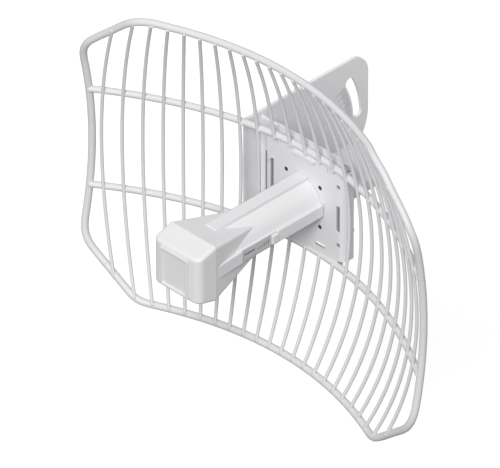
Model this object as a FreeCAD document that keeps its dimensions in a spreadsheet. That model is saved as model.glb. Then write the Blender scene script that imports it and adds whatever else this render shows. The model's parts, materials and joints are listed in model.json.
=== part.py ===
"""Parabolic grid antenna: wire reflector, built-in radio feed, elevation bracket and mast clamp.

Every sub-part is drawn in the frame of the front plate: X to the right, Y backwards and Z up, with the
origin in the middle of the plate's front face, so the boresight is -Y. A last Placement moves each one
to the row frame, whose origin is on the mast's axis at the middle of the clamp.
"""

import FreeCAD, Part
import math
import os

from FreeCAD import Rotation, Vector

SIZES = {
    # reflector
    "grid_shift": 3.4,
    "dish_wide_fit": 539.3,
    "dish_high_fit": 583.0,
    "wire_vertex_y": 2.18,
    "rod_vertex_y": 5.33,
    "wire_dia": 2.9,
    "rod_dia": 5.7,
    "rim_dia": 6.2,
    "wire_pitch": 16.64,
    "pitch_taper": 0.00729,
    "wire_pinch": 2.098e-4,
    "pinch_taper": 4.77e-7,
    "wire_tip_level": 132.6,
    "tenth_tip_level": 130.0,
    "outer_tip_level": 116.4,
    "stub_end": 44.2,
    "rod_level": 45.6,
    "rim_half_wide": 182.2,
    "rim_half_high": 134.5,
    "rim_corner_x": 130.6,
    "rim_corner_z": 90.8,
    "rim_corner_round": 34.0,
    "rim_side_y": -55.1,
    "rim_side_bow": 700.0,
    # front plate
    "sheet": 1.5,
    "plate_left": -45.0,
    "plate_right": 44.2,
    "plate_half_high": 41.2,
    "plate_bend": 6.0,
    "plate_flange_deep": 11.7,
    "shelf_deep": 6.3,
    "lip_high": 11.0,
    "stud_spacing": 37.1,
    "stud_hole_dia": 3.8,
    # rear bracket
    "bracket_sheet": 3.0,
    "back_plate_y": 21.0,
    "back_plate_right": 32.0,
    "back_plate_low": -38.0,
    "back_plate_high": 34.0,
    "wing_x": -70.1,
    "wing_front": 3.9,
    "wing_back": 140.5,
    "wing_top": 39.0,
    "wing_low": -60.0,
    "wing_top_round": 19.5,
    "wing_low_round": 45.0,
    "standoff_x": 26.5,
    "standoff_z": 29.0,
    "standoff_dia": 8.0,
    "screw_dia": 4.0,
    # elevation joint
    "pivot_y": 48.7,
    "pivot_z": -18.7,
    "slot_swing": 79.8,
    "slot_wide": 9.2,
    "slot_low_angle": 3.2,
    "slot_high_angle": 27.0,
    "bolt_dia": 8.0,
    "bolt_clearance": 0.1,
    "face_gap": 0.3,
    "washer_dia": 16.0,
    "washer_thick": 1.6,
    "bolt_head_wide": 13.0,
    "bolt_head_high": 5.3,
    "nut_high": 6.5,
    # mast clamp
    "mast_dia": 38.0,
    "mast_x": -107.0,
    "mast_y": 105.0,
    "mast_z": -53.0,
    "clamp_high": 34.0,
    "clamp_half_wide": 23.0,
    "clamp_bolt_offset": 26.5,
    "clamp_bolt_dia": 6.0,
    "clamp_ear_half_wide": 33.0,
    "clamp_face_y": 81.0,
    "saddle_deep": 13.1,
    "ear_deep": 6.0,
    "clamp_bolt_end": 146.0,
    "clamp_nut_high": 5.0,
    "clamp_nut_wide": 10.0,
    # feed
    "tube_dia": 40.6,
    "tail_dia": 37.0,
    "wall": 2.0,
    "tube_gap": 0.3,
    "tail_end": 62.0,
    "spigot": 6.0,
    "funnel_end": -67.0,
    "fin_end_wide": 28.4,
    "tube_front": -103.0,
    "head_back": -121.0,
    "head_front": -140.4,
    "head_wide": 50.4,
    "head_high": 52.0,
    "face_high": 41.2,
    "head_round": 3.0,
    "face_round": 7.0,
    "frame_proud": 2.2,
    "frame_wide": 30.0,
    "frame_high": 35.8,
    "frame_bar": 2.6,
    "rib_wide": 11.0,
    "rib_top": 22.6,
    "rib_front": -101.0,
    "rail_low": -5.8,
    "rail_high": 4.8,
    "rail_base_x": 21.5,
    "rail_face_x": 23.1,
    "rail_front": -117.0,
    "window_front": -89.5,
    "button_front": -57.4,
    "button_back": -50.8,
    "button_proud": 0.9,
    "board_z": -6.8,
    "board_thick": 1.6,
}

WIRE_COUNT = 23
CUT_WIRES = range(10, 15)

doc = FreeCAD.newDocument("grid_antenna")
sheet = doc.addObject("Spreadsheet::Sheet", "Sizes")
for row, (alias, number) in enumerate(SIZES.items(), start=1):
    sheet.set(f"A{row}", alias)
    sheet.set(f"B{row}", str(number))
    sheet.setAlias(f"B{row}", alias)
doc.recompute()

NODES = []


def size(alias):
    """The value of one cell of the sheet."""
    return float(sheet.get(alias))


def expression(text):
    """An expression in the sheet's aliases, as FreeCAD writes it."""
    words = sorted(SIZES, key=len, reverse=True)
    out, i = "", 0
    text = str(text)
    while i < len(text):
        word = next((w for w in words if text.startswith(w, i)), None)
        if word:
            out += "Sizes." + word
            i += len(word)
        else:
            out += text[i]
            i += 1
    return out


def bind(obj, **cells):
    """Bind properties of obj to expressions in the sheet's aliases."""
    for name, text in cells.items():
        obj.setExpression(name, expression(text))
    return obj


def at(obj, x, y, z):
    for axis, text in zip("xyz", (x, y, z)):
        obj.setExpression(f"Placement.Base.{axis}", expression(text))
    return obj


def box(x, y, z):
    """A box from three pairs of expressions: its low and high side along X, Y and Z."""
    obj = doc.addObject("Part::Box", "Block")
    bind(obj, Length=f"({x[1]}) - ({x[0]})", Width=f"({y[1]}) - ({y[0]})", Height=f"({z[1]}) - ({z[0]})")
    return at(obj, x[0], y[0], z[0])


TURN = {
    "x": Rotation(Vector(0, 1, 0), 90),
    "y": Rotation(Vector(1, 0, 0), -90),
    "z": Rotation(),
}


def rod(axis, start, length, dia):
    """A cylinder from its start point along +axis."""
    obj = doc.addObject("Part::Cylinder", "Round")
    obj.Placement = FreeCAD.Placement(Vector(), TURN[axis])
    bind(obj, Radius=f"({dia}) / 2", Height=length)
    return at(obj, *start)


def hexagon(axis, start, length, across_flats):
    """A hexagonal prism, as the head of a bolt or a nut."""
    obj = doc.addObject("Part::Prism", "Hexagon")
    obj.Polygon = 6
    obj.Placement = FreeCAD.Placement(Vector(), TURN[axis])
    bind(obj, Circumradius=f"({across_flats}) / 2 / cos(30)", Height=length)
    return at(obj, *start)


def cut(base, *tools):
    for tool in tools:
        obj = doc.addObject("Part::Cut", "Cut")
        obj.Base, obj.Tool = base, tool
        base = obj
    return base


def fuse(*shapes):
    obj = doc.addObject("Part::MultiFuse", "Fuse")
    obj.Shapes = list(shapes)
    obj.Refine = True
    return obj


def group(*shapes):
    """Separate solids in one node, such as identical fasteners."""
    obj = doc.addObject("Part::Compound", "Group")
    obj.Links = list(shapes)
    return obj


def solid(shape):
    obj = doc.addObject("Part::Feature", "Shape")
    obj.Shape = shape
    return obj


def node(label, obj):
    """Name a finished sub-part and move it from the plate's frame to the row frame."""
    obj.Label = label
    bound = {path.lstrip("."): text for path, text in obj.ExpressionEngine}
    for axis in "xyz":
        path = f"Placement.Base.{axis}"
        own = bound.get(path, getattr(obj.Placement.Base, axis))
        obj.setExpression(path, f"{own} - Sizes.mast_{axis}")
    NODES.append(obj)
    return obj


# Reflector: every wire and rod follows a paraboloid about the boresight.


def grid_node(label, shape):
    """A part of the grid, whose middle lies beside the feed's axis."""
    obj = solid(shape)
    bind(obj, **{"Placement.Base.x": "grid_shift"})
    return node(label, obj)


def dish_y(x, z, vertex):
    return vertex - x * x / size("dish_wide_fit") - z * z / size("dish_high_fit")


def wire_point(number, z):
    """Wires stand slightly closer towards the sides, and draw together at the rim's top and bottom."""
    step = number - (WIRE_COUNT + 1) // 2
    spread = size("wire_pitch") - size("pitch_taper") * step * step
    pinch = size("wire_pinch") - size("pinch_taper") * step * step
    x = step * (spread - pinch * z * z)
    return Vector(x, dish_y(x, z, size("wire_vertex_y")), z)


def wire_span(number, low, high):
    """One length of wire with rounded tips, on the arc through its two ends and its middle."""
    ends = [wire_point(number, low), wire_point(number, high)]
    arc = Part.Arc(ends[0], wire_point(number, (low + high) / 2), ends[1])
    radius = size("wire_dia") / 2
    outline = Part.Circle(ends[0], arc.tangent(arc.FirstParameter)[0], radius)
    section = Part.Face(Part.Wire(outline.toShape()))
    span = Part.Wire(arc.toShape()).makePipe(section)
    return span.fuse([Part.makeSphere(radius, end) for end in ends])


def grid_wires():
    for number in range(1, WIRE_COUNT + 1):
        from_side = min(number, WIRE_COUNT + 1 - number)
        tip = size({1: "outer_tip_level", 2: "tenth_tip_level"}.get(from_side, "wire_tip_level"))
        spans = [(-tip, tip)]
        if number in CUT_WIRES:
            spans = [(-tip, -size("stub_end")), (size("stub_end"), tip)]
        shapes = [wire_span(number, low, high) for low, high in spans]
        grid_node(f"grid_wire_{number:02d}", Part.makeCompound(shapes) if len(shapes) > 1 else shapes[0])


def swept_quarters(points, start_tangent, end_tangent, dia, mirrors):
    """Sweep a round section along a smooth line and mirror it into the whole rod."""
    curve = Part.BSplineCurve()
    curve.interpolate(Points=points, InitialTangent=start_tangent, FinalTangent=end_tangent)
    section = Part.Wire(Part.Circle(points[0], start_tangent, dia / 2).toShape())
    rod_shape = Part.Wire(curve.toShape()).makePipeShell([section], True, False)
    for normal in mirrors:
        rod_shape = rod_shape.fuse(rod_shape.mirror(Vector(), normal))
    return rod_shape


def cross_rod(level):
    """A horizontal rod on the horizontal parabola, with rounded ends on the rim's sides."""
    reach = size("rim_half_wide") - 1.8
    steps = 8
    points = []
    for i in range(steps + 1):
        x = reach * i / steps
        points.append(Vector(x, dish_y(x, level, size("rod_vertex_y")), level))
    end_tangent = Vector(1, -2 * reach / size("dish_wide_fit"), 0)
    shape = swept_quarters(points, Vector(1, 0, 0), end_tangent, size("rod_dia"), [Vector(1, 0, 0)])
    tip_places = [Vector(side * reach, points[-1].y, level) for side in (-1, 1)]
    tips = [Part.makeSphere(size("rod_dia") / 2, place) for place in tip_places]
    return shape.fuse(tips)


def rim_outline():
    """A quarter of the octagon seen from the front, from the top middle to the side middle."""
    corners = [
        Vector(0, 0, size("rim_half_high")),
        Vector(size("rim_corner_x"), 0, size("rim_half_high")),
        Vector(size("rim_half_wide"), 0, size("rim_corner_z")),
        Vector(size("rim_half_wide"), 0, 0),
    ]
    radius = size("rim_corner_round")
    edges, start = [], corners[0]
    for before, corner, after in zip(corners, corners[1:], corners[2:]):
        back, on = (before - corner).normalize(), (after - corner).normalize()
        half = back.getAngle(on) / 2
        middle = corner + (back + on).normalize() * (radius / math.sin(half) - radius)
        first, last = (corner + way * (radius / math.tan(half)) for way in (back, on))
        edges += [Part.LineSegment(start, first).toShape(), Part.Arc(first, middle, last).toShape()]
        start = last
    return Part.Wire(edges + [Part.LineSegment(start, corners[-1]).toShape()])


def rim_y(x, z):
    """The rim follows the paraboloid along its top and lies nearly flat along its sides."""
    corner_x, corner_z = size("rim_corner_x"), size("rim_corner_z")
    if x <= corner_x:
        return dish_y(x, z, size("rod_vertex_y"))
    side = size("rim_side_y") - min(z, corner_z) ** 2 / size("rim_side_bow")
    share = (x - corner_x) / (size("rim_half_wide") - corner_x)
    return side * share + dish_y(corner_x, size("rim_half_high"), size("rod_vertex_y")) * (1 - share)


def rim_rod():
    flat = rim_outline().discretize(Number=25)
    points = [Vector(p.x, rim_y(p.x, p.z), p.z) for p in flat]
    mirrors = [Vector(1, 0, 0), Vector(0, 0, 1)]
    return swept_quarters(points, Vector(1, 0, 0), Vector(0, 0, -1), size("rim_dia"), mirrors)


def reflector():
    grid_node("rim_rod", rim_rod())
    grid_node("cross_rod_upper", cross_rod(size("rod_level")))
    grid_node("cross_rod_lower", cross_rod(-size("rod_level")))
    grid_wires()


# Front plate: bent sheet between the cross rods, open for the feed.


def feed_opening(y_low, y_high):
    """The round hole with a notch for the rail, as both plates have it."""
    hole = rod("y", ("0", y_low, "0"), f"({y_high}) - ({y_low})", "tail_dia + 2 * tube_gap")
    notch = box(
        ("0", "rail_face_x + 0.9"), (y_low, y_high), ("rail_low + 0.2", "rail_high - 0.2")
    )
    return [hole, notch]


def edge_bend(side, edge):
    """The rounded bend and the flange behind it, on one side of the plate."""
    radius = "plate_bend"
    centre = f"{edge} - {side} * plate_bend"
    outer = rod("z", (centre, radius, "-plate_half_high"), "2 * plate_half_high", "2 * plate_bend")
    inner_start = (centre, radius, "-plate_half_high - 1")
    inner = rod("z", inner_start, "2 * plate_half_high + 2", "2 * (plate_bend - sheet)")
    ring = cut(outer, inner)
    keep = doc.addObject("Part::Common", "Bend")
    x_pair = (centre, edge) if side > 0 else (edge, centre)
    keep.Base, keep.Tool = ring, box(x_pair, ("0", radius), ("-plate_half_high", "plate_half_high"))
    wall = (f"{edge} - sheet", edge) if side > 0 else (edge, f"{edge} + sheet")
    return [keep, box(wall, (radius, "plate_flange_deep"), ("-plate_half_high", "plate_half_high"))]


def rod_cradle(side):
    """The shelf under a cross rod and the lip behind it."""
    shelf_z = ("plate_half_high", "plate_half_high + sheet") if side > 0 else (
        "-plate_half_high - sheet", "-plate_half_high")
    lip_z = ("plate_half_high", "plate_half_high + lip_high") if side > 0 else (
        "-plate_half_high - lip_high", "-plate_half_high")
    shelf = box(("-33", "38"), ("0", "shelf_deep"), shelf_z)
    lip = box(("-33", "38"), ("shelf_deep - sheet", "shelf_deep"), lip_z)
    return [shelf, lip]


def front_plate():
    face = box(
        ("plate_left + plate_bend", "plate_right - plate_bend"), ("0", "sheet"),
        ("-plate_half_high", "plate_half_high"),
    )
    bends = edge_bend(-1, "plate_left") + edge_bend(1, "plate_right")
    tongue = box(("-10.4", "13.7"), ("-3", "0.5"), ("39.6", "39.6 + sheet"))
    body = fuse(face, tongue, *bends, *rod_cradle(1), *rod_cradle(-1))
    holes = feed_opening("-1", "sheet + 1")
    for x in ("-stud_spacing / 2", "stud_spacing / 2"):
        for z in ("-stud_spacing / 2", "stud_spacing / 2"):
            holes.append(rod("y", (x, "-1", z), "sheet + 2", "stud_hole_dia"))
    deep, through = ("-1", "plate_bend + 1"), ("-1", "sheet + 1")
    holes += [
        box(("plate_left - 1", "-39.6"), deep, ("-22", "25")),
        box(("-36.4", "-32.4"), through, ("-20", "21.5")),
        box(("36.3", "40"), deep, ("26.5", "30.5")),
        box(("36.3", "40"), deep, ("-14.3", "10.6")),
        box(("36.3", "40"), deep, ("-28.5", "-24.5")),
        box(("13", "24"), through, ("-38", "-33.7")),
    ]
    for x in ("-28.9", "26.1"):
        holes.append(box((x, f"{x} + 1"), through, ("36.4", "41")))
        holes.append(box((x, f"{x} + 3.2"), through, ("36.4", "37.6")))
    node("front_plate", cut(body, *holes))


def standoffs_and_screws():
    """Distance pieces riveted to the plate, and the screws that hold the rear bracket on them."""
    posts, screws = [], []
    for x in ("-standoff_x", "standoff_x"):
        for z in ("-standoff_z", "standoff_z"):
            post = rod("y", (x, "sheet", z), "back_plate_y - sheet", "standoff_dia")
            bore = rod("y", (x, "sheet", z), "back_plate_y", "screw_dia + bolt_clearance")
            posts.append(cut(post, bore))
            back = "back_plate_y + bracket_sheet"
            shank = rod("y", (x, "sheet + 4", z), f"{back} - sheet - 4", "screw_dia")
            screws.append(fuse(shank, rod("y", (x, back, z), "2.6", "7.6")))
    node("plate_standoffs", group(*posts))
    node("bracket_screws", group(*screws))


# Rear bracket: a back plate and a wing with the pivot hole and the arc slot.


def wing_outline(x):
    """The wing's outline, a closed wire in the YZ plane."""
    front, back, top, low = (size(f"wing_{side}") for side in ("front", "back", "top", "low"))
    r_top, r_low = size("wing_top_round"), size("wing_low_round")
    turn = math.sqrt(0.5)
    corner = [
        Vector(x, back - r_top, top),
        Vector(x, back - r_top + r_top * turn, top - r_top + r_top * turn),
        Vector(x, back, top - r_top),
    ]
    heel = [
        Vector(x, back, low + r_low),
        Vector(x, back - r_low + r_low * turn, low + r_low - r_low * turn),
        Vector(x, back - r_low, low),
    ]
    start, end = Vector(x, front, low), Vector(x, front, top)
    edges = [
        Part.LineSegment(start, end), Part.LineSegment(end, corner[0]), Part.Arc(*corner),
        Part.LineSegment(corner[2], heel[0]), Part.Arc(*heel), Part.LineSegment(heel[2], start),
    ]
    return Part.Wire([edge.toShape() for edge in edges])


def pivot_point(x, radius=0.0, degrees=0.0):
    """A point at a radius and an angle from the pivot, in the plane at x."""
    a = math.radians(degrees)
    return Vector(x, size("pivot_y") + radius * math.cos(a), size("pivot_z") + radius * math.sin(a))


def arc_slot(x, through):
    """The slot that the tilt bolt travels in, centred on the pivot."""
    swing, half = size("slot_swing"), size("slot_wide") / 2
    low, high = size("slot_low_angle"), size("slot_high_angle")
    middle = (low + high) / 2
    cap = math.degrees(half / swing)
    inner, outer = swing - half, swing + half
    edges = [
        Part.Arc(*(pivot_point(x, outer, a) for a in (low, middle, high))),
        Part.Arc(*(pivot_point(x, *spot) for spot in ((outer, high), (swing, high + cap), (inner, high)))),
        Part.Arc(*(pivot_point(x, inner, a) for a in (high, middle, low))),
        Part.Arc(*(pivot_point(x, *spot) for spot in ((inner, low), (swing, low - cap), (outer, low)))),
    ]
    return Part.Face(Part.Wire([edge.toShape() for edge in edges])).extrude(Vector(through, 0, 0))


def rear_bracket():
    x, thick = size("wing_x"), size("bracket_sheet")
    wing = Part.Face(wing_outline(x)).extrude(Vector(thick, 0, 0))
    pivot_hole = Part.makeCylinder(
        (size("bolt_dia") + size("bolt_clearance")) / 2, thick + 2, pivot_point(x - 1), Vector(1, 0, 0)
    )
    wing = solid(wing.cut([arc_slot(x - 1, thick + 2), pivot_hole]))
    back = ("back_plate_y", "back_plate_y + bracket_sheet")
    plate = box(("wing_x", "back_plate_right"), back, ("back_plate_low", "back_plate_high"))
    holes = feed_opening("back_plate_y - 1", "back_plate_y + bracket_sheet + 1")
    for x_text in ("-standoff_x", "standoff_x"):
        for z_text in ("-standoff_z", "standoff_z"):
            start = (x_text, "back_plate_y - 1", z_text)
            holes.append(rod("y", start, "bracket_sheet + 2", "screw_dia + bolt_clearance"))
    node("rear_bracket", cut(fuse(wing, plate), *holes))


# Elevation joint: the pivot bolt through wing and mast bracket. The wing's slot is left empty.

INNER_SEAT = "wing_x + bracket_sheet + face_gap"
OUTER_SEAT = "wing_x - face_gap - bracket_sheet"
BOLT_BORE = "bolt_dia + bolt_clearance"


def pivot_rod(start, length, dia):
    return rod("x", (start, "pivot_y", "pivot_z"), length, dia)


def elevation_fasteners():
    head_place = (f"{INNER_SEAT} + washer_thick", "pivot_y", "pivot_z")
    head = hexagon("x", head_place, "bolt_head_high", "bolt_head_wide")
    shank_start = f"{OUTER_SEAT} - washer_thick - nut_high - 2"
    shank = pivot_rod(shank_start, f"{INNER_SEAT} + washer_thick - ({shank_start})", "bolt_dia")
    node("pivot_bolt", fuse(head, shank))
    nut_start = f"{OUTER_SEAT} - washer_thick - nut_high"
    nut = hexagon("x", (nut_start, "pivot_y", "pivot_z"), "nut_high", "bolt_head_wide")
    node("pivot_nut", cut(nut, pivot_rod(nut_start, "nut_high", BOLT_BORE)))
    washers = [
        cut(pivot_rod(start, "washer_thick", "washer_dia"), pivot_rod(start, "washer_thick", BOLT_BORE))
        for start in (INNER_SEAT, f"{OUTER_SEAT} - washer_thick")
    ]
    node("pivot_washers", group(*washers))


# Mast clamp: bracket, fixed saddle, sliding jaw, and the bolts and nuts that close it.

CLAMP_Z = ("mast_z - clamp_high / 2", "mast_z + clamp_high / 2")
EAR_SIDES = ("-1", "1")


def mast_bracket():
    """The mast-side plate beside the wing, with the flange that the saddle bears on."""
    x = size("wing_x") - size("face_gap") - size("bracket_sheet")
    low = size("mast_z") - size("clamp_high") / 2
    edge = size("clamp_face_y")
    outline = [(36, -8), (64, -8), (edge, -24), (edge, low), (60, low), (36, -36)]
    corners = [Vector(x, y, z) for y, z in outline]
    profile = Part.Face(Part.makePolygon(corners + corners[:1]))
    plate = profile.extrude(Vector(size("bracket_sheet"), 0, 0))
    flange = box(
        ("mast_x - clamp_ear_half_wide", OUTER_SEAT + " + bracket_sheet"),
        ("clamp_face_y - bracket_sheet", "clamp_face_y"), CLAMP_Z,
    )
    holes = [pivot_rod(OUTER_SEAT + " - 1", "bracket_sheet + 2", BOLT_BORE)]
    start_y = "clamp_face_y - bracket_sheet - 1"
    for side in EAR_SIDES:
        start = (f"mast_x + {side} * clamp_bolt_offset", start_y, "mast_z")
        holes.append(rod("y", start, "bracket_sheet + 2", "clamp_bolt_dia + bolt_clearance"))
    node("mast_bracket", cut(fuse(solid(plate), flange), *holes))


def clamp_half(thick_y, ear_y):
    """One half of the clamp: a block with ears, hollowed to the mast's radius and drilled for bolts."""
    block = box(("mast_x - clamp_half_wide", "mast_x + clamp_half_wide"), thick_y, CLAMP_Z)
    ears = box(("mast_x - clamp_ear_half_wide", "mast_x + clamp_ear_half_wide"), ear_y, CLAMP_Z)
    mast = rod("z", ("mast_x", "mast_y", "mast_z - clamp_high"), "2 * clamp_high", "mast_dia")
    holes = []
    for side in EAR_SIDES:
        start = (f"mast_x + {side} * clamp_bolt_offset", f"{ear_y[0]} - 1", "mast_z")
        holes.append(rod("y", start, "ear_deep + 2", "clamp_bolt_dia + 1.5 * bolt_clearance"))
    return cut(fuse(block, ears), mast, *holes)


def mast_clamp():
    rear_face = "2 * mast_y - clamp_face_y"
    saddle = ("clamp_face_y", "clamp_face_y + saddle_deep")
    jaw = (f"{rear_face} - saddle_deep", rear_face)
    node("mast_saddle", clamp_half(saddle, ("clamp_face_y", "clamp_face_y + ear_deep")))
    node("mast_jaw", clamp_half(jaw, (f"{rear_face} - ear_deep", rear_face)))
    bolts, nuts = [], []
    for side in EAR_SIDES:
        x = f"mast_x + {side} * clamp_bolt_offset"
        head_y = "clamp_face_y - bracket_sheet - 4"
        head = hexagon("y", (x, head_y, "mast_z"), "4", "clamp_nut_wide")
        shank = rod("y", (x, head_y, "mast_z"), f"clamp_bolt_end - ({head_y})", "clamp_bolt_dia")
        bolts.append(fuse(head, shank))
        collar = rod("y", (x, rear_face, "mast_z"), "washer_thick", "13")
        nut_start = (x, f"{rear_face} + washer_thick", "mast_z")
        nut = hexagon("y", nut_start, "clamp_nut_high", "clamp_nut_wide")
        bore_length = "washer_thick + clamp_nut_high"
        bore = rod("y", (x, rear_face, "mast_z"), bore_length, "clamp_bolt_dia + bolt_clearance")
        nuts.append(cut(fuse(collar, nut), bore))
    node("clamp_bolts", group(*bolts))
    node("clamp_nuts", group(*nuts))


# Feed: head at the focus, body down to the plate, and tail through both plates.

HEAD_X = ("-head_wide / 2", "head_wide / 2")
HEAD_Z = ("-head_high / 2", "head_high / 2")
RAIL_Z = ("rail_low", "rail_high")


def rounded_rectangle(y, wide, high, radius):
    """A closed wire across the feed's axis, starting in the middle of a corner arc."""
    turn = math.sqrt(0.5)
    edges = []
    corners = [(1, 1), (-1, 1), (-1, -1), (1, -1)]
    for i, (sx, sz) in enumerate(corners):
        cx, cz = sx * (wide / 2 - radius), sz * (high / 2 - radius)
        on_x, on_z = Vector(cx + sx * radius, y, cz), Vector(cx, y, cz + sz * radius)
        middle = Vector(cx + sx * radius * turn, y, cz + sz * radius * turn)
        first, last = (on_x, on_z) if i % 2 == 0 else (on_z, on_x)
        edges.append(Part.Arc(first, middle, last).toShape())
        nx, nz = corners[(i + 1) % 4]
        if i % 2 == 0:
            follow = Vector(nx * (wide / 2 - radius), y, nz * high / 2)
        else:
            follow = Vector(nx * wide / 2, y, nz * (high / 2 - radius))
        edges.append(Part.LineSegment(last, follow).toShape())
    return Part.Wire(edges)


def funnel(shrink):
    """The square funnel behind the head, drawn in by shrink, whose corners run out on the tube as fins."""
    wide, high = size("head_wide") - 2 * shrink, size("head_high") - 2 * shrink
    end = size("fin_end_wide") - 2 * shrink
    sections = [
        rounded_rectangle(size("head_back"), wide, high, size("head_round") - shrink / 2),
        rounded_rectangle(size("funnel_end"), end, end, 1.2),
    ]
    return Part.makeLoft(sections, True, True)


def head_block(shrink):
    """The head drawn in by shrink: it tapers to the face, and all its edges but the rear are round."""
    front, back = size("head_front") + shrink, size("head_back") + (1 if shrink else 0)
    half_wide = size("head_wide") / 2 - shrink
    back_level, front_level = size("head_high") / 2 - shrink, size("face_high") / 2 - shrink
    outline = [(back, back_level), (front, front_level), (front, -front_level), (back, -back_level)]
    corners = [Vector(-half_wide, y, z) for y, z in outline]
    block = Part.Face(Part.makePolygon(corners + corners[:1])).extrude(Vector(2 * half_wide, 0, 0))
    upright = [edge for edge in block.Edges if near_y(edge, front) and edge.BoundBox.XLength < 0.01]
    block = block.makeFillet(size("face_round") - shrink, upright)
    around = [edge for edge in block.Edges if edge.BoundBox.ZLength < 0.9 * back_level]
    around = [edge for edge in around if not near_y(edge, back)]
    return block.makeFillet(size("head_round") - shrink / 2, around)


def near_y(edge, y):
    return abs(edge.BoundBox.YMin - y) < 0.01 and abs(edge.BoundBox.YMax - y) < 0.01


def feed_head():
    wall = size("wall")
    node("feed_head", solid(head_block(0).cut(head_block(wall))))
    outside = box(
        ("-frame_wide / 2", "frame_wide / 2"), ("head_front - frame_proud", "head_front"),
        ("-frame_high / 2", "frame_high / 2"),
    )
    inside = box(
        ("-frame_wide / 2 + frame_bar", "frame_wide / 2 - frame_bar"),
        ("head_front - frame_proud - 1", "head_front + 1"),
        ("-frame_high / 2 + frame_bar", "frame_high / 2 - frame_bar"),
    )
    node("face_frame", cut(outside, inside))
    node("face_panel", box(
        ("-frame_wide / 2 + frame_bar", "frame_wide / 2 - frame_bar"), ("head_front - 0.8", "head_front"),
        ("-frame_high / 2 + frame_bar", "frame_high / 2 - frame_bar"),
    ))


def rail_wedge():
    """The rail's front end, which widens to the head's side."""
    front, back = size("head_back"), size("window_front")
    outline = [(17, front), (size("head_wide") / 2 - 0.4, front), (size("rail_face_x"), back), (17, back)]
    corners = [Vector(x, y, size("rail_low")) for x, y in outline]
    rise = Vector(0, 0, size("rail_high") - size("rail_low"))
    return Part.Face(Part.makePolygon(corners + corners[:1])).extrude(rise)


def feed_body():
    wall = size("wall")
    tube = rod("y", ("0", "tube_front", "0"), "-tube_gap - tube_front", "tube_dia")
    rib = box(("-rib_wide / 2", "rib_wide / 2"), ("rib_front", "-tube_gap"), ("12", "rib_top"))
    rail = box(("12", "rail_base_x"), ("rail_front", "-tube_gap"), RAIL_Z)
    outside = fuse(solid(funnel(0)), tube, rib, rail, solid(rail_wedge()))
    bore = rod("y", ("0", "tube_front", "0"), "1 - tube_gap - tube_front", "tube_dia - 2 * wall")
    rail_inside = ("rail_low + 1.2", "rail_high - 1.2")
    button_hole = box(("10", "30"), ("button_front", "button_back"), rail_inside)
    tongue_way = box(("14", "30"), ("button_back - 1", "-6"), ("-2.6", "1.6"))
    light_way_y = ("window_front + 2", "button_front - 2")
    light_way = box(("14", "30"), light_way_y, ("rail_low + 2", "rail_high - 2"))
    shell = cut(outside, solid(funnel(wall)), bore, button_hole, tongue_way, light_way)
    seat = box(("8", "10"), ("button_front + 0.3", "button_back - 0.3"), ("-3.6", "17"))
    node("feed_body", fuse(shell, seat))


def rail_pieces():
    """Cover, window and latch button along the rail on the feed's right side."""
    cover_x = ("rail_base_x", "rail_face_x")
    node("side_cover", box(cover_x, ("button_back", "-tube_gap - 0.2"), RAIL_Z))
    node("status_window", box(
        ("rail_base_x", "rail_face_x - 0.9"), ("window_front + 0.3", "button_front"), RAIL_Z,
    ))
    pad = box(
        ("17", "rail_face_x + button_proud"), ("button_front + 0.3", "button_back - 0.3"),
        ("rail_low + 1.5", "rail_high - 1.5"),
    )
    tongue = box(("18", "19.6"), ("button_back - 0.4", "-8"), ("-2.2", "1.2"))
    node("release_button", fuse(pad, tongue))


def release_spring():
    """A small leaf spring, bowed from its seat in the body to the back of the button."""
    seat_x, crown_x, leaf = 10.3, 16.7, 0.4
    middle_y = (size("button_front") + size("button_back")) / 2
    low_z = (size("rail_low") + size("rail_high")) / 2 - 1.5
    bows = []
    for inset in (0, leaf):
        ends = [Vector(seat_x, middle_y + side * (2.5 - inset), low_z) for side in (-1, 1)]
        crown = Vector(crown_x - inset, middle_y, low_z)
        bows.append(Part.Arc(ends[0], crown, ends[1]).toShape())
    feet = [
        Part.LineSegment(bows[0].Vertexes[i].Point, bows[1].Vertexes[i].Point).toShape() for i in (0, -1)
    ]
    outline = Part.Wire(Part.__sortEdges__([*bows, *feet]))
    node("release_spring", solid(Part.Face(outline).extrude(Vector(0, 0, 3))))


DOOR_PIN_Z = "11.6"
DOOR_PIN_Y = "tail_end + 2.2"


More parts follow.
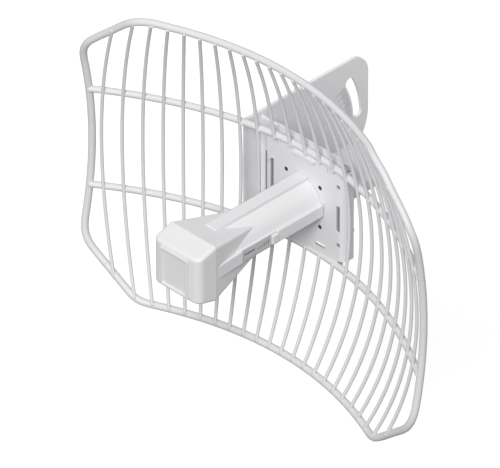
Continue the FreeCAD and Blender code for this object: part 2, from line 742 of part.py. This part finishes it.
def tail_housing():
    """The part of the feed behind the plate: a closed tube with the rail, and ears for the door's pin."""
    tail = rod("y", ("0", "-spigot", "0"), "tail_end + spigot", "tail_dia")
    rail_z = ("rail_low + 0.5", "rail_high - 0.5")
    rail = box(("12", "rail_face_x + 0.6"), ("tube_gap", "tail_end"), rail_z)
    ear_z = (f"{DOOR_PIN_Z} - 2.2", f"{DOOR_PIN_Z} + 2")
    ear_y = ("tail_end - 2", "tail_end + 4.2")
    ears = [box(x, ear_y, ear_z) for x in (("-12.2", "-10.6"), ("10.6", "12.2"))]
    bore = rod("y", ("0", "-spigot - 1", "0"), "spigot + 1 + tail_end - wall", "tail_dia - 2 * wall")
    jack_way = box(("-7.2", "7.2"), ("tail_end - wall - 1", "tail_end + 1"), ("-4.6", "7.6"))
    reset_way = rod("y", ("10.6", "tail_end - wall - 1", "-1.5"), "wall + 2", "2.92")
    step_start, step_length = ("0", "-spigot - 1", "0"), "spigot + 1 - tube_gap"
    spigot_step = cut(
        rod("y", step_start, step_length, "tube_dia + 2"),
        rod("y", step_start, step_length, "tube_dia - 2 * wall - bolt_clearance"),
    )
    seal_groove = cut(
        rod("y", ("0", "-3.7", "0"), "1.4", "tube_dia"), rod("y", ("0", "-3.7", "0"), "1.4", "34.5")
    )
    pin_hole = rod("x", ("-20", DOOR_PIN_Y, DOOR_PIN_Z), "40", "2")
    shell = cut(fuse(tail, rail, *ears), bore, jack_way, reset_way, spigot_step, seal_groove, pin_hole)
    node("tail_housing", shell)
    ring = doc.addObject("Part::Torus", "Ring")
    ring.Radius1, ring.Radius2 = 17.8, 0.5
    ring.Placement = FreeCAD.Placement(Vector(0, -3, 0), TURN["y"])
    node("tube_seal", ring)


def port_door():
    leaf = box(("-10.3", "10.3"), ("tail_end + 0.3", "tail_end + 2.3"), ("-10", DOOR_PIN_Z))
    knuckle = rod("x", ("-10.3", DOOR_PIN_Y, DOOR_PIN_Z), "20.6", "3.8")
    pin_way = rod("x", ("-20", DOOR_PIN_Y, DOOR_PIN_Z), "40", "2.1")
    node("port_door", cut(fuse(leaf, knuckle), pin_way))
    node("door_pin", rod("x", ("-12.2", DOOR_PIN_Y, DOOR_PIN_Z), "24.4", "2"))


def reset_parts():
    button = fuse(
        rod("y", ("10.6", "tail_end - 4.4", "-1.5"), "4.4", "2.8"),
        rod("y", ("10.6", "tail_end - 4.4", "-1.5"), "1.4", "4"),
    )
    node("reset_button", button)
    node("reset_switch", box(("8.6", "12.6"), ("50", "tail_end - 5.6"), ("board_z + board_thick", "0.8")))


def electronics():
    board_top = "board_z + board_thick"
    node("circuit_board", box(("-14.6", "14.6"), ("-112", "58"), ("board_z", board_top)))
    can = box(("-11", "11"), ("-104", "-66"), (board_top, f"{board_top} + 4"))
    hollow = box(("-10.6", "10.6"), ("-103.6", "-66.4"), (f"{board_top} - 1", f"{board_top} + 3.6"))
    node("shield_can", cut(can, hollow))
    jack = box(("-8", "8"), ("44", "tail_end - wall - 0.1"), (board_top, "8.4"))
    socket = box(("-5.9", "5.9"), ("48", "tail_end"), ("-3", "5.4"))
    node("ethernet_jack", cut(jack, socket))
    lights = [
        box(("12.2", "14"), (f"-{62 + 5 * i}", f"-{60.4 + 5 * i}"), (board_top, f"{board_top} + 1"))
        for i in range(5)
    ]
    node("status_lights", group(*lights))
    patch = box(("-14", "14"), ("-127", "-126"), ("-16", "16"))
    stem = rod("y", ("0", "-126", "-6"), "14", "3.6")
    node("radiator", fuse(patch, stem))
    splash_y = ("head_front + wall", "head_front + wall + 0.8")
    node("splash_plate", box(("-17", "17"), splash_y, ("-16", "16")))


def check_document():
    """Stop if any object failed, and return the sub-parts' shapes."""
    doc.recompute()
    for obj in doc.Objects:
        if {"Invalid", "Error"} & set(obj.State):
            raise RuntimeError(f"{obj.Name} ({obj.Label}) is {obj.State}")
    for obj in NODES:
        if obj.Shape.isNull() or not obj.Shape.isValid() or not obj.Shape.Solids:
            raise RuntimeError(f"{obj.Label} has no valid solid")


def export():
    os.makedirs("parts", exist_ok=True)
    for obj in NODES:
        obj.Shape.exportStep(f"parts/{obj.Label}.step")
        print(obj.Label, len(obj.Shape.Solids), round(obj.Shape.Volume, 1))


reflector()
front_plate()
standoffs_and_screws()
rear_bracket()
elevation_fasteners()
mast_bracket()
mast_clamp()
feed_head()
feed_body()
rail_pieces()
release_spring()
tail_housing()
port_door()
reset_parts()
electronics()
check_document()
export()
print(len(NODES), "nodes")
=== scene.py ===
"""Parabolic grid antenna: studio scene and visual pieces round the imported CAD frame."""

import itertools
import json
import math
import random

import bmesh
import bpy
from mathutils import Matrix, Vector

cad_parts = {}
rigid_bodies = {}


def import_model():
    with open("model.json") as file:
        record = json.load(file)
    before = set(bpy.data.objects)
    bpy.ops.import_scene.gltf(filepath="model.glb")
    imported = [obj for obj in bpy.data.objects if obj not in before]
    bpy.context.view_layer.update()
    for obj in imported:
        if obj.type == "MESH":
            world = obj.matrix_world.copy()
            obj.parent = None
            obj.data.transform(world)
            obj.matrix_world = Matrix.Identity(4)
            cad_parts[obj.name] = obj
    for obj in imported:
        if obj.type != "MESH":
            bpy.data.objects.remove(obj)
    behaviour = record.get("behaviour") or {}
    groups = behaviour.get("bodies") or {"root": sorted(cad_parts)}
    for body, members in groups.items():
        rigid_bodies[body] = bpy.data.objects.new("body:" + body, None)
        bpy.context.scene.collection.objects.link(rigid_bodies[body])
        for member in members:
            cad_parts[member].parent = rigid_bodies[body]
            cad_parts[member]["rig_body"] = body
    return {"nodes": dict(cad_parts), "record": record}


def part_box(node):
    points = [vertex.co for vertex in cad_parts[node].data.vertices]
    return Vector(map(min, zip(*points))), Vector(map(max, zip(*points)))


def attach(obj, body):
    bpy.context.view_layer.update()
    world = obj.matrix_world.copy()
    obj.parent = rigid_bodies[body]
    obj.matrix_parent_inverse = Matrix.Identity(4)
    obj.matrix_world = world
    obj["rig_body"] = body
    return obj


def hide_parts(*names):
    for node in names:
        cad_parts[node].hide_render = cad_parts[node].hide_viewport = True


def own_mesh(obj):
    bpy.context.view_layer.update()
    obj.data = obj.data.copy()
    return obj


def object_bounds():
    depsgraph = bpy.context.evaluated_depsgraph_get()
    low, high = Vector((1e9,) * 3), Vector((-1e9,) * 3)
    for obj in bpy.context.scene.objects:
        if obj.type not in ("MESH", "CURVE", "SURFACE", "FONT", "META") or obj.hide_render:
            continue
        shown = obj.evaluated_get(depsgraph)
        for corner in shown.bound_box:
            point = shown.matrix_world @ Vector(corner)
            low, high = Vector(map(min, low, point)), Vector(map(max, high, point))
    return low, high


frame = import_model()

cad_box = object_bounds()
MM = 0.001
scene = bpy.context.scene

# ---------------------------------------------------------------- places
# The added pieces' places are in millimetres from the middle of the plate's front face,
# which the CAD model fixes through the feed head's box.
HEAD_TO_PLATE = 121.0
HEAD_LOW, HEAD_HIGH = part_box("feed_head")
PLATE = Vector((
    (HEAD_LOW.x + HEAD_HIGH.x) / 2,
    HEAD_HIGH.y + HEAD_TO_PLATE * MM,
    (HEAD_LOW.z + HEAD_HIGH.z) / 2,
))


def at(x, y, z):
    """A point of the row frame from millimetres in the plate's frame."""
    return PLATE + Vector((x, y, z)) * MM


# ---------------------------------------------------------------- camera, floor and light
RIGHT = Vector((1, 1, 0)).normalized()
BACK = Vector((1, -1, 1)).normalized()
UP = BACK.cross(RIGHT)
VIEW_WIDTH = 390 * MM
VIEW_LEFT, VIEW_DOWN = 41.4 * MM, 28.2 * MM
LENS, SENSOR = 1000.0, 36.0
FLOOR_HALF_SIZE = 6.0
FLOOR_DROP = 0.42
FLOOR_GLOW = 0.2
SKY_LOW, SKY_HIGH = 0.21, 0.56
SKY_LOW_Z, SKY_HIGH_Z = -0.5, 0.6
SUN_STRENGTH, SUN_SPREAD_DEGREES = 2.2, 24
SUN_FROM = Vector((0.41, -0.65, 0.64))


def make_camera():
    """A long lens on the isometric diagonal, so that parallel edges look parallel."""
    data = bpy.data.cameras.new("studio_camera")
    data.lens = LENS
    data.sensor_width = SENSOR
    data.clip_start, data.clip_end = 0.5, 60
    camera = bpy.data.objects.new("studio_camera", data)
    scene.collection.objects.link(camera)
    target = PLATE - RIGHT * VIEW_LEFT - UP * VIEW_DOWN
    camera.location = target + BACK * VIEW_WIDTH * LENS / SENSOR
    camera.rotation_mode = "QUATERNION"
    camera.rotation_quaternion = BACK.to_track_quat("Z", "Y")
    scene.camera = camera


def make_floor():
    """A pale paper floor that lights and shades nothing on the antenna."""
    build = bmesh.new()
    bmesh.ops.create_grid(build, x_segments=8, y_segments=8, size=FLOOR_HALF_SIZE)
    mesh = bpy.data.meshes.new("floor")
    build.to_mesh(mesh)
    build.free()
    floor = bpy.data.objects.new("floor", mesh)
    floor.location = (0, 0, cad_box[0].z - FLOOR_DROP)
    scene.collection.objects.link(floor)
    floor.visible_diffuse = False
    floor.visible_glossy = False
    floor.visible_shadow = False
    material = bpy.data.materials.new("floor_paper")
    material.use_nodes = True
    shader = material.node_tree.nodes["Principled BSDF"]
    shader.inputs["Base Color"].default_value = (0.97, 0.97, 0.97, 1)
    shader.inputs["Roughness"].default_value = 0.9
    shader.inputs["Emission Color"].default_value = (1, 1, 1, 1)
    shader.inputs["Emission Strength"].default_value = FLOOR_GLOW
    mesh.materials.append(material)


def make_light():
    """A sky that brightens upwards, and one broad soft key light."""
    world = bpy.data.worlds.new("studio_world")
    scene.world = world
    world.use_nodes = True
    nodes, links = world.node_tree.nodes, world.node_tree.links
    nodes.clear()
    place = nodes.new("ShaderNodeTexCoord")
    split = nodes.new("ShaderNodeSeparateXYZ")
    rise = nodes.new("ShaderNodeMapRange")
    rise.inputs["From Min"].default_value = SKY_LOW_Z
    rise.inputs["From Max"].default_value = SKY_HIGH_Z
    rise.inputs["To Min"].default_value = SKY_LOW
    rise.inputs["To Max"].default_value = SKY_HIGH
    sky = nodes.new("ShaderNodeBackground")
    sky.inputs["Color"].default_value = (0.985, 0.99, 1.0, 1)
    out = nodes.new("ShaderNodeOutputWorld")
    links.new(place.outputs["Generated"], split.inputs["Vector"])
    links.new(split.outputs["Z"], rise.inputs["Value"])
    links.new(rise.outputs["Result"], sky.inputs["Strength"])
    links.new(sky.outputs["Background"], out.inputs["Surface"])
    data = bpy.data.lights.new("key_light", "SUN")
    data.energy = SUN_STRENGTH
    data.angle = math.radians(SUN_SPREAD_DEGREES)
    data.color = (1.0, 0.997, 0.99)
    key = bpy.data.objects.new("key_light", data)
    key.rotation_mode = "QUATERNION"
    key.rotation_quaternion = SUN_FROM.to_track_quat("Z", "Y")
    scene.collection.objects.link(key)
    scene.view_settings.view_transform = "Standard"


make_camera()
make_floor()
make_light()

# ---------------------------------------------------------------- materials
DRIFT_SCALE, GLOSS_SCALE, MOTTLE_SCALE = 26.0, 90.0, 420.0
NOISE_LOW, NOISE_HIGH = 0.3, 0.7


def new_material(name):
    """A node material with its nodes, its links and its shader."""
    material = bpy.data.materials.new(name)
    material.use_nodes = True
    nodes = material.node_tree.nodes
    return material, nodes, material.node_tree.links, nodes["Principled BSDF"]


def texture(nodes, links, kind, scale, **sockets):
    """A 3-D texture node in object coordinates; scale is in cycles per metre."""
    place = nodes.new("ShaderNodeTexCoord")
    node = nodes.new(kind)
    links.new(place.outputs["Object"], node.inputs["Vector"])
    node.inputs["Scale"].default_value = scale
    for name, value in sockets.items():
        node.inputs[name].default_value = value
    return node


def ramp(nodes, links, source, stops):
    """A colour ramp over (place, colour) stops, and its colour output."""
    node = nodes.new("ShaderNodeValToRGB")
    elements = node.color_ramp.elements
    while len(elements) < len(stops):
        elements.new(0.5)
    for element, (place, colour) in zip(elements, stops):
        element.position = place
        element.color = (*colour, 1)
    links.new(source, node.inputs["Fac"])
    return node.outputs["Color"]


def spread(nodes, links, source, low, high):
    """The middle of a noise's range, stretched to run from low to high."""
    node = nodes.new("ShaderNodeMapRange")
    node.inputs["From Min"].default_value = NOISE_LOW
    node.inputs["From Max"].default_value = NOISE_HIGH
    node.inputs["To Min"].default_value = low
    node.inputs["To Max"].default_value = high
    links.new(source, node.inputs["Value"])
    return node.outputs["Result"]


def bump(nodes, links, source, shader, strength, distance):
    node = nodes.new("ShaderNodeBump")
    node.inputs["Strength"].default_value = strength
    node.inputs["Distance"].default_value = distance
    links.new(source, node.inputs["Height"])
    links.new(node.outputs["Normal"], shader.inputs["Normal"])


def tones(colour, by):
    """A colour made lighter or darker, no brighter than white."""
    return tuple(min(1.0, c * by) for c in colour)


def coat(name, colour, grain, roughness, depth=0.00006, variation=0.03):
    """Paint or moulded plastic: slow tone drift, fine grain and a slightly uneven gloss."""
    material, nodes, links, shader = new_material(name)
    drift = texture(nodes, links, "ShaderNodeTexNoise", DRIFT_SCALE, Detail=4.0, Roughness=0.55)
    stops = [
        (0.30, tones(colour, 1 - variation)),
        (0.52, colour),
        (0.75, tones(colour, 1 + variation / 2)),
    ]
    links.new(ramp(nodes, links, drift.outputs["Fac"], stops), shader.inputs["Base Color"])
    gloss = texture(nodes, links, "ShaderNodeTexNoise", GLOSS_SCALE, Detail=3.0)
    links.new(spread(nodes, links, gloss.outputs["Fac"], roughness - 0.06, roughness + 0.08),
              shader.inputs["Roughness"])
    fine = texture(nodes, links, "ShaderNodeTexNoise", grain, Detail=2.0, Roughness=0.5)
    bump(nodes, links, fine.outputs["Fac"], shader, 0.35, depth)
    return material


def metal(name, colour, roughness, stretch=(1, 1, 1), grain=900.0, depth=0.00004):
    """Plated or cast metal with a streaked or mottled surface."""
    material, nodes, links, shader = new_material(name)
    shader.inputs["Metallic"].default_value = 1.0
    place = nodes.new("ShaderNodeTexCoord")
    pull = nodes.new("ShaderNodeMapping")
    pull.inputs["Scale"].default_value = stretch
    links.new(place.outputs["Object"], pull.inputs["Vector"])
    streak = nodes.new("ShaderNodeTexNoise")
    streak.inputs["Scale"].default_value = grain
    streak.inputs["Detail"].default_value = 4.0
    links.new(pull.outputs["Vector"], streak.inputs["Vector"])
    mottle = texture(nodes, links, "ShaderNodeTexVoronoi", MOTTLE_SCALE)
    links.new(ramp(nodes, links, mottle.outputs["Distance"],
                   [(0.0, tones(colour, 1.05)), (0.5, colour), (0.9, tones(colour, 0.86))]),
              shader.inputs["Base Color"])
    links.new(spread(nodes, links, streak.outputs["Fac"], roughness - 0.08, roughness + 0.12),
              shader.inputs["Roughness"])
    bump(nodes, links, streak.outputs["Fac"], shader, 0.4, depth)
    return material


MATERIALS = {
    "grid_coat": coat("grid_coat", (0.72, 0.72, 0.732), 1500.0, 0.46, variation=0.02),
    "plate_coat": coat("plate_coat", (0.78, 0.78, 0.793), 1900.0, 0.50),
    "bracket_coat": coat("bracket_coat", (0.90, 0.90, 0.912), 1900.0, 0.50),
    "scale_marks": coat("scale_marks", (0.40, 0.405, 0.42), 1900.0, 0.5, 0.00003),
    # Near-black: the lamp marks' own colour, and painted shade on the pads behind the plate's
    # openings.
    "dark_marks_and_painted_shade": coat("dark_marks_and_painted_shade", (0.24, 0.243, 0.255), 2400.0, 0.7, 0.0001, 0.12),
    "fastener_zinc": metal("fastener_zinc", (0.70, 0.71, 0.72), 0.34, (1, 0.2, 1)),
    "clamp_cast": metal("clamp_cast", (0.60, 0.61, 0.62), 0.52, grain=1300.0, depth=0.00012),
    "feed_plastic": coat("feed_plastic", (0.80, 0.80, 0.81), 2600.0, 0.46, 0.00004, 0.015),
    "panel_plastic": coat("panel_plastic", (0.79, 0.79, 0.80), 3200.0, 0.40, 0.00003, 0.012),
    "window_plastic": coat("window_plastic", (0.58, 0.585, 0.60), 3600.0, 0.22, 0.00002, 0.05),
    "button_plastic": coat("button_plastic", (0.09, 0.092, 0.10), 2600.0, 0.42, 0.00004, 0.08),
    "spring_steel": metal("spring_steel", (0.56, 0.56, 0.57), 0.28, (0.3, 1, 1)),
    "seal_rubber": coat("seal_rubber", (0.022, 0.022, 0.024), 1800.0, 0.62, 0.00006, 0.15),
    "board_laminate": coat("board_laminate", (0.012, 0.11, 0.045), 2200.0, 0.34, 0.00003, 0.20),
    "can_steel": metal("can_steel", (0.66, 0.66, 0.67), 0.30, (1, 0.15, 1)),
    "light_plastic": coat("light_plastic", (0.80, 0.84, 0.74), 2600.0, 0.25, 0.00002, 0.04),
    "radiator_metal": metal("radiator_metal", (0.72, 0.62, 0.42), 0.32, (1, 1, 0.2)),
}
SLOT_OF = {row["node"]: row["material_slot"] for row in frame["record"]["subparts"]}
for node_name, cad_object in frame["nodes"].items():
    for slot in cad_object.material_slots:
        slot.material = MATERIALS[SLOT_OF[node_name]]

# ---------------------------------------------------------------- pieces
SAME_POINT = 2e-6
FLAT_ANGLE = math.radians(1)


def place_piece(name, build, material, body, sharp_angle=35):
    """A new piece from a bmesh, smooth but for its sharp edges, riding on its body."""
    mesh = bpy.data.meshes.new(name)
    bmesh.ops.recalc_face_normals(build, faces=build.faces)
    build.to_mesh(mesh)
    build.free()
    mesh.shade_smooth()
    mesh.set_sharp_from_angle(angle=math.radians(sharp_angle))
    mesh.materials.append(material)
    piece = bpy.data.objects.new(name, mesh)
    scene.collection.objects.link(piece)
    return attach(piece, body)


def rounded_copy(node, width, segments=2, edge_angle=28):
    """The CAD node's shape with its sharp edges rounded, shown in the node's place."""
    source = frame["nodes"][node]
    build = bmesh.new()
    build.from_mesh(source.data)
    bmesh.ops.remove_doubles(build, verts=build.verts, dist=SAME_POINT)
    bmesh.ops.dissolve_limit(build, angle_limit=FLAT_ANGLE, verts=build.verts, edges=build.edges)
    hard = [edge for edge in build.edges
            if len(edge.link_faces) == 2 and edge.calc_face_angle(0) > math.radians(edge_angle)]
    bmesh.ops.bevel(build, geom=hard, offset=width * MM, offset_type="OFFSET", segments=segments,
                    profile=0.5, affect="EDGES", clamp_overlap=True)
    slot = SLOT_OF[node]
    piece = place_piece("round_" + node, build, MATERIALS[slot], source["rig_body"])
    flats = piece.modifiers.new("flat_faces", "WEIGHTED_NORMAL")
    flats.keep_sharp = True
    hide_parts(node)
    return piece


# Edge radius of each rounded piece, in millimetres.
EDGE_ROUND = {
    "front_plate": 0.25, "rear_bracket": 0.35, "mast_bracket": 0.35,
    "mast_saddle": 0.8, "mast_jaw": 0.8,
    "side_cover": 0.35, "face_frame": 0.5, "face_panel": 0.15,
    "status_window": 0.2, "release_button": 0.4, "port_door": 0.4,
    "pivot_bolt": 0.5, "pivot_nut": 0.5, "pivot_washers": 0.2,
    "clamp_bolts": 0.4, "clamp_nuts": 0.4, "bracket_screws": 0.3, "plate_standoffs": 0.3,
    "ethernet_jack": 0.2, "shield_can": 0.3, "radiator": 0.15, "splash_plate": 0.2,
    "circuit_board": 0.15, "release_spring": 0.08, "door_pin": 0.2, "reset_button": 0.25,
    "reset_switch": 0.3, "status_lights": 0.2,
}
for node_name, edge_width in EDGE_ROUND.items():
    rounded_copy(node_name, edge_width)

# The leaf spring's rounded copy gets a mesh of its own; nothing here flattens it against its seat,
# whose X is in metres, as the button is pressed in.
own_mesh(bpy.data.objects["round_release_spring"])


LEVEL_REACH = 2.6 * MM
FEWEST_SPOTS = 6
WIRE_COUNT = 23
TIP_INSET = 2.4 * MM
ROD_WELD_SHARE, RIM_WELD_SHARE = 0.42, 0.8
RIM_WELD_BACK = Vector((0, 0.3 * MM, 0))
ROD_WELD_HALF = (2.1, 1.1, 2.5)
RIM_WELD_HALF = (1.7, 1.0, 1.7)


def level_centre(node, axis, level):
    """Mean point of a rod's surface near one level of an axis, or None where it has no part."""
    spots = [v.co for v in frame["nodes"][node].data.vertices
             if abs(v.co[axis] - level) < LEVEL_REACH]
    if len(spots) < FEWEST_SPOTS:
        return None
    return sum(spots, Vector()) / len(spots)


def add_blob(build, centre, half, seed):
    """A weld nugget: an uneven lump, flattened between the two wires that it joins."""
    made = bmesh.ops.create_icosphere(build, subdivisions=2, radius=1.0)
    draw = random.Random(seed)
    lean = Vector((draw.uniform(-1, 1), draw.uniform(-1, 1), draw.uniform(-1, 1)))
    for vert in made["verts"]:
        wave_x = 0.10 * math.sin(3.1 * vert.co.x + lean.x * 4)
        wave_z = 0.08 * math.sin(4.3 * vert.co.z + lean.z * 5)
        swell = 1 + wave_x + wave_z
        vert.co = centre + vert.co * Vector(half) * swell * MM


def make_welds():
    """A nugget wherever a wire crosses a cross rod or meets the rim."""
    build = bmesh.new()
    rim = frame["nodes"]["rim_rod"].data.vertices
    for number in range(1, WIRE_COUNT + 1):
        wire = f"grid_wire_{number:02d}"
        for rod in ("cross_rod_upper", "cross_rod_lower"):
            low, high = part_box(rod)
            on_wire = level_centre(wire, 2, (low.z + high.z) / 2)
            if on_wire is None:
                continue
            on_rod = level_centre(rod, 0, on_wire.x)
            depth = on_wire.y + ROD_WELD_SHARE * (on_rod.y - on_wire.y)
            joint = Vector((on_wire.x, depth, on_rod.z))
            add_blob(build, joint, ROD_WELD_HALF, number)
        low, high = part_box(wire)
        for tip, inward in ((low.z, 1), (high.z, -1)):
            end = level_centre(wire, 2, tip + inward * TIP_INSET)
            near = min(rim, key=lambda v: (v.co - end).length).co
            joint = end.lerp(near, RIM_WELD_SHARE) + RIM_WELD_BACK
            add_blob(build, joint, RIM_WELD_HALF, 100 + number)
    place_piece("weld_nuggets", build, MATERIALS["grid_coat"], "tilt_head", 60)


make_welds()

WING_FACE_X = -67.1
PIVOT_Y, PIVOT_Z = 48.7, -18.7
SCALE_DEGREES = range(3, 29)
LONG_TICK_EVERY = 5
TICK_OUTER, LONG_TICK_INNER, SHORT_TICK_INNER = 73.4, 62.0, 67.5
LONG_TICK_HALF, SHORT_TICK_HALF = 0.26, 0.18
TICK_SUNK, TICK_PROUD, TICK_CHAMFER = 0.02, 0.14, 0.12
TICK_TOP_SHARE = 0.6


def wing_spot(x, radius, degrees):
    """A point beside the wing, given by its radius and angle about the pivot."""
    angle = math.radians(degrees)
    return at(x, PIVOT_Y + radius * math.cos(angle), PIVOT_Z + radius * math.sin(angle))


def add_tick(build, inner, degrees, half_wide):
    """One raised mark on the wing, with a chamfered top."""
    base, top = [], []
    base_x, top_x = WING_FACE_X - TICK_SUNK, WING_FACE_X + TICK_PROUD
    for radius, side in ((inner, -1), (TICK_OUTER, -1), (TICK_OUTER, 1), (inner, 1)):
        across = math.degrees(half_wide / radius) * side
        base.append(build.verts.new(wing_spot(base_x, radius, degrees + across)))
        draw_in = TICK_CHAMFER if radius == inner else -TICK_CHAMFER
        spot = wing_spot(top_x, radius + draw_in, degrees + TICK_TOP_SHARE * across)
        top.append(build.verts.new(spot))
    build.faces.new(top)
    for i in range(4):
        build.faces.new((base[i], base[(i + 1) % 4], top[(i + 1) % 4], top[i]))


def make_degree_scale():
    """One tick a degree beside the arc slot, every fifth of them longer and wider."""
    build = bmesh.new()
    for number, degrees in enumerate(SCALE_DEGREES):
        if number % LONG_TICK_EVERY == 0:
            add_tick(build, LONG_TICK_INNER, degrees, LONG_TICK_HALF)
        else:
            add_tick(build, SHORT_TICK_INNER, degrees, SHORT_TICK_HALF)
    place_piece("degree_scale", build, MATERIALS["scale_marks"], "tilt_head", 20)


make_degree_scale()


BOX_FACES = (
    (0, 1, 3, 2), (4, 6, 7, 5), (0, 4, 5, 1),
    (2, 3, 7, 6), (0, 2, 6, 4), (1, 5, 7, 3),
)
SHARP_RADIANS = 0.6


def add_block(build, x, y, z):
    """A box between pairs of millimetre values in the plate's frame."""
    spots = itertools.product(x, y, z)
    corners = [build.verts.new(at(*spot)) for spot in spots]
    for face in BOX_FACES:
        build.faces.new([corners[i] for i in face])


def round_edges(build, width, segments=2):
    """Rounds every sharp edge of a piece in the making; width in millimetres."""
    hard = [edge for edge in build.edges
            if len(edge.link_faces) == 2 and edge.calc_face_angle(0) > SHARP_RADIANS]
    bmesh.ops.bevel(build, geom=hard, offset=width * MM, offset_type="OFFSET", segments=segments,
                    profile=0.5, affect="EDGES", clamp_overlap=True)


def turn_angles(sides):
    """Evenly spaced angles of one full turn."""
    return [2 * math.pi * i / sides for i in range(sides)]


def join_rings(build, rings):
    """Faces between neighbouring rings of points, and one over each end."""
    sides = len(rings[0])
    for first, second in zip(rings, rings[1:]):
        for i in range(sides):
            after = (i + 1) % sides
            build.faces.new((first[i], first[after], second[after], second[i]))
    build.faces.new(rings[0])
    build.faces.new(rings[-1])


def add_lathe(build, profile, x, z, sides=28):
    """A closed form from (radius, y) pairs turned about a line along +Y, in millimetres."""
    rings = []
    for radius, y in profile:
        spots = [at(x + radius * math.cos(a), y, z + radius * math.sin(a)) for a in turn_angles(sides)]
        rings.append([build.verts.new(spot) for spot in spots])
    join_rings(build, rings)


STUD_HALF = 18.55
# Outline of one dark plug as (radius, y), shaped like an insert: blind bore, rolled lip, shank,
# shoulder and tail.
SHADE_PLUG_PROFILE = [
    (0.5, 4.4), (1.55, 4.4), (1.62, 0.1), (1.80, -0.12), (1.88, 0.3),
    (1.88, 1.5), (3.1, 1.56), (3.1, 3.0), (2.6, 6.2), (0.5, 6.4),
]


def make_hole_shade_plugs():
    """Near-black plugs shaped like blind threaded inserts, pressed into the plate's four holes from
    behind: painted shade that makes the holes read dark.
    """
    build = bmesh.new()
    for x in (-STUD_HALF, STUD_HALF):
        for z in (-STUD_HALF, STUD_HALF):
            add_lathe(build, SHADE_PLUG_PROFILE, x, z)
    # The near-black button plastic paints the holes' shade.
    place_piece("hole_shade_plugs", build, MATERIALS["button_plastic"], "tilt_head", 30)


# Dark pads that paint the shade seen through the plate's edge openings.
SHADE_PAD_DEPTH = (1.7, 4.2)
LEFT_SHADE_PAD_X, LEFT_SHADE_PAD_Z = (-43.0, -31.0), (-24.0, 27.0)
RIGHT_SHADE_PAD_X, RIGHT_SHADE_PAD_Z = (35.2, 41.0), (-29.5, 31.5)


def make_painted_shade_pads():
    """Dark pads behind the plate's edge openings: painted shade that stands in for the dark inside of
    the openings.
    """
    build = bmesh.new()
    add_block(build, LEFT_SHADE_PAD_X, SHADE_PAD_DEPTH, LEFT_SHADE_PAD_Z)
    add_block(build, RIGHT_SHADE_PAD_X, SHADE_PAD_DEPTH, RIGHT_SHADE_PAD_Z)
    round_edges(build, 0.5)
    place_piece("opening_shade_pads", build, MATERIALS["dark_marks_and_painted_shade"], "tilt_head")


def sweep(build, points, radius, sides=14):
    """A round tube through points given in the row frame, closed at both ends."""
    rings = []
    count = len(points)
    for i, point in enumerate(points):
        ahead = points[min(i + 1, count - 1)] - points[max(i - 1, 0)]
        ahead.normalize()
        side = ahead.cross(Vector((0, 1, 0))).normalized()
        lift = side.cross(ahead).normalized()
        offsets = [side * math.cos(a) + lift * math.sin(a) for a in turn_angles(sides)]
        rings.append([build.verts.new(point + offset * radius * MM) for offset in offsets])
    join_rings(build, rings)


BEAD_RADIUS, BEAD_Y = 0.85, -0.15
BEAD_END_X, BEAD_ARC_WIDE, BEAD_ARC_HIGH = -31.6, 6.8, 8.6
BEAD_SIDE_X = BEAD_END_X - BEAD_ARC_WIDE
BEAD_ARC_Z, BEAD_MIDDLE_Z = 14.0, -6.5
BEAD_ARC_STEPS, BEAD_SIDE_STEPS = 10, 9
BEAD_SIDE_STEP = 3.0


def make_edge_bead():
    """The rolled bead round the tongue in the plate's left opening."""
    build = bmesh.new()
    turns = [math.radians(90 * i / BEAD_ARC_STEPS) for i in range(BEAD_ARC_STEPS + 1)]
    head = [(BEAD_END_X - BEAD_ARC_WIDE * math.sin(a), BEAD_ARC_Z + BEAD_ARC_HIGH * math.cos(a))
            for a in turns]
    side = [(BEAD_SIDE_X, BEAD_ARC_Z - BEAD_SIDE_STEP * i) for i in range(1, BEAD_SIDE_STEPS + 1)]
    foot = [(x, 2 * BEAD_MIDDLE_Z - z) for x, z in reversed(head)]
    sweep(build, [at(x, BEAD_Y, z) for x, z in head + side + foot], BEAD_RADIUS)
    place_piece("edge_bead", build, MATERIALS["grid_coat"], "tilt_head", 60)


LAMP_X = (21.9, 22.26)
SLOT_LAMP_Y, SLOT_LAMP_Z = (-86.5, -75.5), (-0.9, 0.7)
BAR_COUNT, BAR_FIRST_Y, BAR_PITCH, BAR_WIDE = 6, -72.6, 2.4, 0.9
BAR_FOOT_Z, BAR_TOP_Z, BAR_RISE = -2.2, -0.6, 0.55


def make_signal_marks():
    """A slot lamp and a rising row of small lamps on the status window."""
    build = bmesh.new()
    add_block(build, LAMP_X, SLOT_LAMP_Y, SLOT_LAMP_Z)
    for i in range(BAR_COUNT):
        start = BAR_FIRST_Y + BAR_PITCH * i
        add_block(build, LAMP_X, (start, start + BAR_WIDE), (BAR_FOOT_Z, BAR_TOP_Z + BAR_RISE * i))
    round_edges(build, 0.12, 1)
    place_piece("signal_marks", build, MATERIALS["dark_marks_and_painted_shade"], "feed_unit")


RIDGE_X, RIDGE_Y = (-6.5, 6.5), (64.1, 64.75)
RIDGE_COUNT, RIDGE_FIRST_Z, RIDGE_PITCH, RIDGE_HIGH = 3, -7.4, 2.0, 0.9


def make_door_grip():
    """Finger ridges across the port door's outer face."""
    build = bmesh.new()
    for i in range(RIDGE_COUNT):
        z = RIDGE_FIRST_Z + RIDGE_PITCH * i
        add_block(build, RIDGE_X, RIDGE_Y, (z, z + RIDGE_HIGH))
    round_edges(build, 0.28)
    place_piece("door_grip", build, MATERIALS["feed_plastic"], "port_door")


make_hole_shade_plugs()
make_painted_shade_pads()
make_edge_bead()
make_signal_marks()
make_door_grip()
